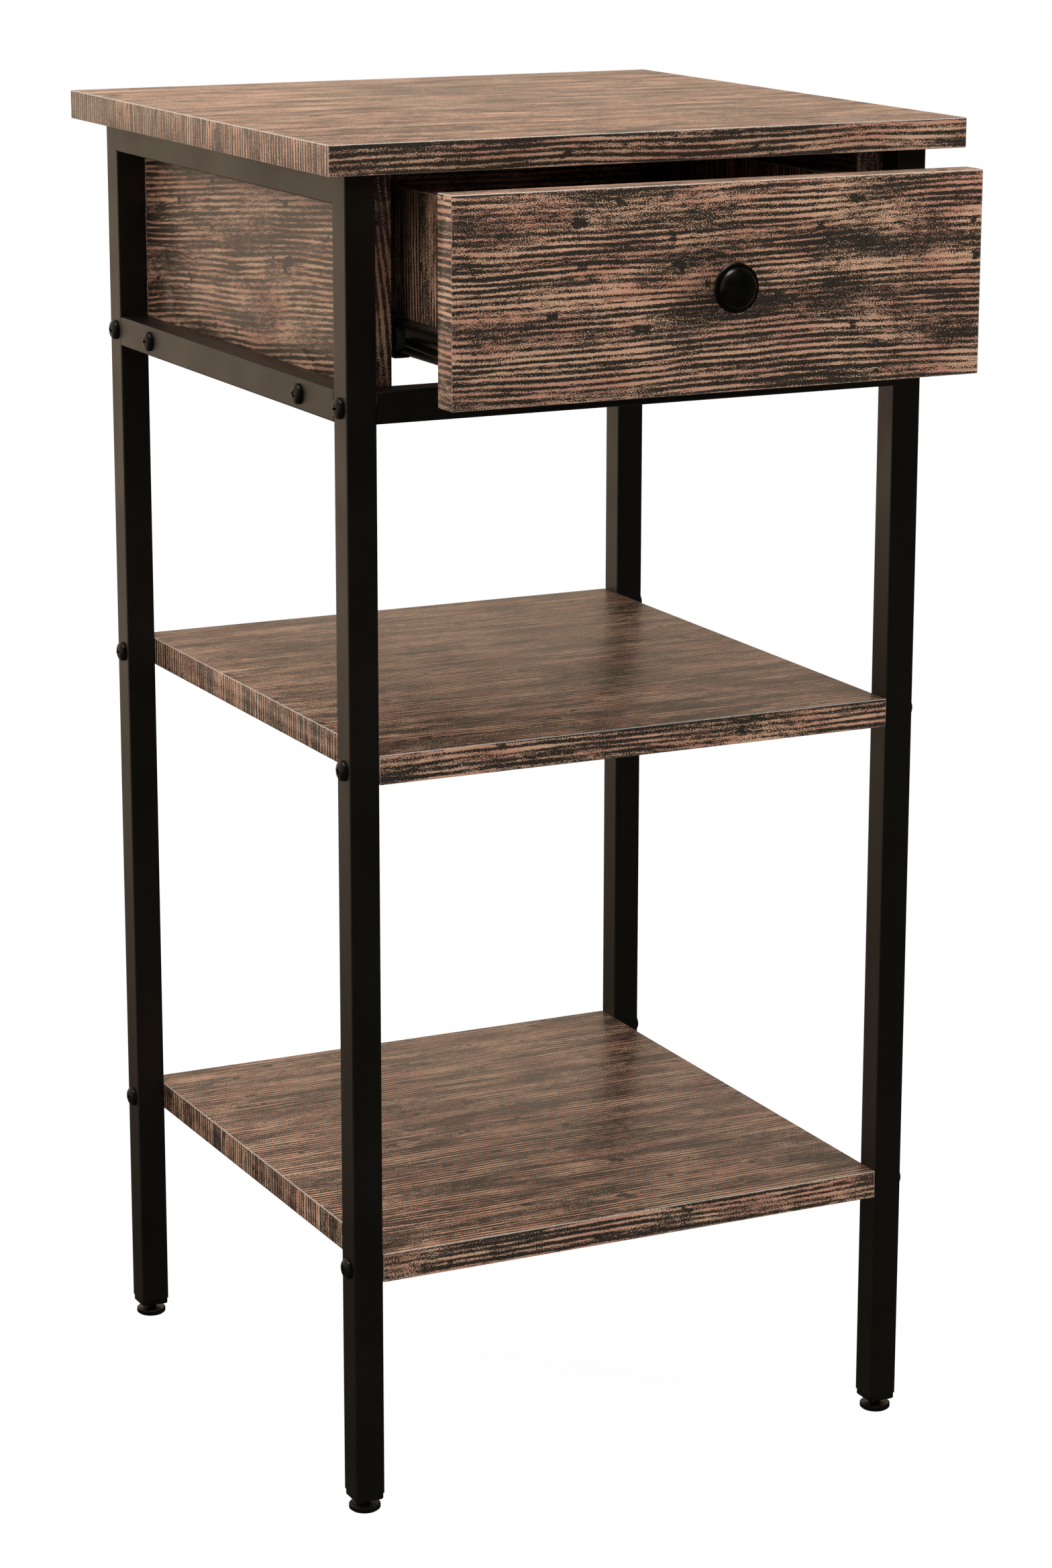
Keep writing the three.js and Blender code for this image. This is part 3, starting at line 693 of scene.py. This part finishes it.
def small_screw_mesh():
    shape = bmesh.new()
    dome = [(3.4 * cos(t / 6 * pi / 2) ** 0.8 if t < 6 else 0, 0.4 + 1.2 * sin(t / 6 * pi / 2))
            for t in range(7)]
    turn_profile(shape, [(0, -10), (1.4, -8), (1.4, 0), (3.3, 0), (3.4, 0.2)] + dome, 24)
    mesh = to_mesh("small_screw", shape, 50)
    upright = tapered_slot((1.8, 0.42), (0.8, 0.28), 0.5, 2.2)
    across = upright.copy()
    across.transform(Matrix.Rotation(pi / 2, 4, "Z"))
    return carve(mesh, [upright, across])


def axle_mesh(shoulder, whole):
    shape = bmesh.new()
    turn_profile(shape, [
        (0, -SHEET / 2), (3, -SHEET / 2), (3, shoulder - 0.1), (2.9, shoulder), (2, shoulder),
        (2, whole), (3.1, whole), (3.25, whole + 0.15), (3.1, whole + 0.5), (2.2, whole + 0.75),
        (0, whole + 0.75)], 32)
    return to_mesh("axle", shape)


def wheel_mesh(radius, width):
    inset = 0.35
    shape = bmesh.new()
    turn_profile(shape, [
        (2.1, 0), (3.2, 0), (3.4, inset), (radius - 1.3, inset), (radius - 1.0, 0),
        (radius - 0.4, 0), (radius - 0.1, 0.1), (radius, 0.4), (radius, width - 0.4),
        (radius - 0.1, width - 0.1), (radius - 0.4, width), (radius - 1.0, width),
        (radius - 1.3, width - inset), (3.4, width - inset), (3.2, width), (2.1, width),
        (2.1, 0)], 64)
    return to_mesh("wheel", shape)


small_screw = small_screw_mesh()
for side in sides:
    inward = 1 if side == "left" else -1
    cabinet_low, cabinet_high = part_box(side + "_cabinet_slide")
    drawer_low, drawer_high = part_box(side + "_drawer_slide")
    panel_face = cabinet_low.x if inward > 0 else cabinet_high.x
    flange_end = abs((drawer_high.x if inward > 0 else drawer_low.x) - panel_face) / MM
    webs = {"cabinet": SHEET / 2, "drawer": SLIDE_SPACE - SHEET / 2}
    half = SHEET / 2
    lines = {
        "cabinet": [(CABINET_FLANGE, cabinet_low.z / MM + half),
                    (webs["cabinet"], cabinet_low.z / MM + half),
                    (webs["cabinet"], cabinet_high.z / MM - half),
                    (CABINET_TOP_FLANGE, cabinet_high.z / MM - half)],
        "drawer": [(flange_end, drawer_low.z / MM + half),
                   (webs["drawer"], drawer_low.z / MM + half),
                   (webs["drawer"], drawer_high.z / MM - half),
                   (NEAR_FACE, drawer_high.z / MM - half)],
    }
    spans = {"cabinet": (cabinet_low.y, cabinet_high.y), "drawer": (drawer_low.y, drawer_high.y)}
    wheels = {"cabinet": side + "_front_roller", "drawer": side + "_rear_roller"}
    for part, line in lines.items():
        start, end = spans[part]
        middle_height = (line[1][1] + line[2][1]) / 2
        places = [start + share * (end - start) for share in SLOT_SHARES]
        slots = [slot_cutter(webs[part], place, middle_height) for place in places]
        strip = strip_mesh(part + "_slide", line, start, end, slots)
        strip.transform(Matrix.Diagonal((inward, 1, 1, 1)))
        if inward < 0:
            strip.flip_normals()
        add_piece(f"{side}_{part}_bent_slide", strip, steel_finish,
                  (f"{side}_{part}_slide",), place=Matrix.Translation((panel_face, 0, 0)))
        # The cabinet strip is screwed outwards into the panel, the drawer strip inwards.
        outward = inward if part == "cabinet" else -inward
        web_side = half if part == "cabinet" else -half
        head_face = panel_face + inward * (webs[part] + web_side) * MM
        for count, place in enumerate(places, 1):
            add_piece(f"{side}_{part}_slide_screw_{count}", small_screw, screw_finish,
                      body=STRIP_BODIES[part],
                      place=facing((head_face, place, middle_height * MM), (outward, 0, 0)))
        wheel_low, wheel_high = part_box(wheels[part])
        wheel_centre = (wheel_low + wheel_high) / 2
        width = (wheel_high.x - wheel_low.x) / MM
        radius = (wheel_high.z - wheel_low.z) / 2 / MM
        near_side = wheel_centre - Vector((outward * width / 2 * MM, 0, 0))
        add_piece(wheels[part] + "_wheel", wheel_mesh(radius, width), roller_finish,
                  (wheels[part],), place=facing(near_side, (outward, 0, 0)))
        web_face = Vector((head_face, wheel_centre.y, wheel_centre.z))
        shoulder = abs(near_side.x - head_face) / MM - ROLLER_GAP
        add_piece(f"{side}_{part}_axle", axle_mesh(shoulder, shoulder + width + 2 * ROLLER_GAP),
                  screw_finish, body=STRIP_BODIES[part],
                  place=facing(web_face, (outward, 0, 0)))
print("slides done, drawer strip flange ends", round(flange_end, 2), "from the panel")

# %% [markdown]
# The top rails are welded between the legs, and the welds are ground flush before coating.
# A small filler at each joint closes the groove that the rounded tube corners leave.

# %% Ground welds
TUBE_CORNER = 1.2
for side in sides:
    outward = -1 if side == "left" else 1
    rail_low, rail_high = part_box(side + "_top_rail")
    for end in ends:
        away = -1 if end == "front" else 1
        joint = rail_low.y if end == "front" else rail_high.y
        for face, out in ((rail_low.x if outward < 0 else rail_high.x, outward),
                          (rail_high.x if outward < 0 else rail_low.x, -outward)):
            outline = [Vector((face, joint))]
            for step in range(7):
                angle = step / 6 * pi / 2
                outline.append(Vector((
                    face - out * TUBE_CORNER * MM * (1 - cos(angle)),
                    joint + away * TUBE_CORNER * MM * (1 - sin(angle)))))
            shape = bmesh.new()
            ring = [[shape.verts.new((p.x, p.y, z)) for p in outline]
                    for z in (rail_low.z + TUBE_CORNER * MM, rail_high.z)]
            for first, second in zip(ring[0], ring[0][1:] + ring[0][:1]):
                pair = ring[0].index(first), ring[0].index(second)
                shape.faces.new((first, second, ring[1][pair[1]], ring[1][pair[0]]))
            for cap in ring:
                shape.faces.new(cap)
            place_name = "outer" if out == outward else "inner"
            add_piece(f"{side}_{end}_{place_name}_weld", to_mesh("weld", shape), steel_finish,
                      body="table_frame")
print("welds: 8")

# %% [markdown]
# A white sweep and soft lamps are what a furniture studio uses. One lamp hangs over the
# table, a small hard one stands at the right of the front, and soft ones at the left and behind
# reach under the top to the shelves. The far side stays open and bright, so that the top
# shines at a low angle while the black steel stays black from the front.

# %% Floor and surroundings
WARM_MIRROR = (1.0, 0.76, 0.56)      # the far wall, as glossy surfaces see it
FLOOR_REACH = 14
FLOOR_WHITE_SHARE = 0.88             # the rest is paper, which holds the soft shadow


def mix_shaders(tree, share, first, second):
    return node(tree, "MixShader", {0: share, 1: first.outputs[0], 2: second.outputs[0]})


def stage_floor():
    mesh = bpy.data.meshes.new("floor")
    turns = ((-1, -1), (1, -1), (1, 1), (-1, 1))
    corners = [(x * FLOOR_REACH, y * FLOOR_REACH, 0) for x, y in turns]
    mesh.from_pydata(corners, [], [(0, 1, 2, 3)])
    floor = bpy.data.objects.new("floor", mesh)
    bpy.context.scene.collection.objects.link(floor)
    finish, tree = new_finish("floor_paper")
    place = node(tree, "SeparateXYZ", {"Vector": node(tree, "TexCoord").outputs["Object"]})
    paper = node(tree, "BsdfDiffuse", {"Color": (0.55, 0.55, 0.55, 1)})
    # For glossy rays the floor is a warm glow, not paper: dim near the table, bright far behind
    # and to the left. It is a painted reflection that makes the steel's left faces lighter high
    # up than low down.
    towards_back = maths(tree, "MULTIPLY_ADD", place.outputs["Y"], 0.85,
                         maths(tree, "MULTIPLY", place.outputs["X"], -0.4))
    glow = smooth_step(tree, towards_back, 0.15, 2.6, 0.06, 0.95)
    mirrored = node(tree, "Emission", {"Color": (*WARM_MIRROR, 1), "Strength": glow})
    seen = node(tree, "Emission", {"Color": (1, 1, 1, 1), "Strength": 1.1})
    faint = mix_shaders(tree, FLOOR_WHITE_SHARE, paper, seen)
    path = node(tree, "LightPath")
    lit = mix_shaders(tree, path.outputs["Is Camera Ray"], paper, faint)
    mix = mix_shaders(tree, path.outputs["Is Glossy Ray"], lit, mirrored)
    node(tree, "OutputMaterial", {"Surface": mix.outputs[0]})
    mesh.materials.append(finish)


stage_floor()
world = bpy.data.worlds.new("studio")
bpy.context.scene.world = world
world.use_nodes = True
world_tree = world.node_tree
world_tree.nodes.clear()
sky_place = node(world_tree, "TexCoord").outputs["Generated"]
sky = node(world_tree, "SeparateXYZ", {"Vector": sky_place})
leftward = maths(world_tree, "MULTIPLY_ADD", sky.outputs["X"], -0.9, sky.outputs["Y"])
behind = smooth_step(world_tree, leftward, -0.3, 0.9, 0.03, 0.95)
open_sky = node(world_tree, "Background", {"Color": (*WARM_MIRROR, 1), "Strength": behind})
sky_path = node(world_tree, "LightPath")
fill = maths(world_tree, "MULTIPLY_ADD", sky_path.outputs["Is Camera Ray"], 0.6, 0.5)
plain_sky = node(world_tree, "Background", {"Color": (1, 1, 1, 1), "Strength": fill})
sky_mix = mix_shaders(world_tree, sky_path.outputs["Is Glossy Ray"], plain_sky, open_sky)
node(world_tree, "OutputWorld", {"Surface": sky_mix.outputs[0]})
bpy.context.scene.view_settings.view_transform = "Standard"
print("floor and surroundings ready")


# %% Lamps
def lamp(name, place, aim, size, power, colour, mirrored=False):
    light = bpy.data.lights.new(name, "AREA")
    light.shape = "RECTANGLE"
    light.size, light.size_y = size
    light.energy = power
    light.color = colour
    made = bpy.data.objects.new(name, light)
    made.location = table_middle + Vector(place)
    made.rotation_euler = (Vector(aim) - Vector(place)).to_track_quat("-Z", "Y").to_euler()
    made.visible_glossy = mirrored
    bpy.context.scene.collection.objects.link(made)


lamp("overhead_lamp", (-0.4, -0.2, 2.3), (0, 0, 0.5), (0.85, 0.85), 28, (1, 0.99, 0.97), True)
lamp("right_lamp", (2.0, -2.0, 1.75), (0, 0, 0.5), (0.3, 0.3), 38, (1, 0.98, 0.95))
lamp("left_lamp", (-2.2, -1.3, 1.9), (0, 0, 0.4), (1.2, 1.2), 23, (1, 0.97, 0.92))
lamp("rear_lamp", (-1.4, 2.2, 1.5), (0, 0, 0.3), (1.2, 1.2), 13, (1, 0.97, 0.92))
print("lamps:", len(bpy.data.lights))
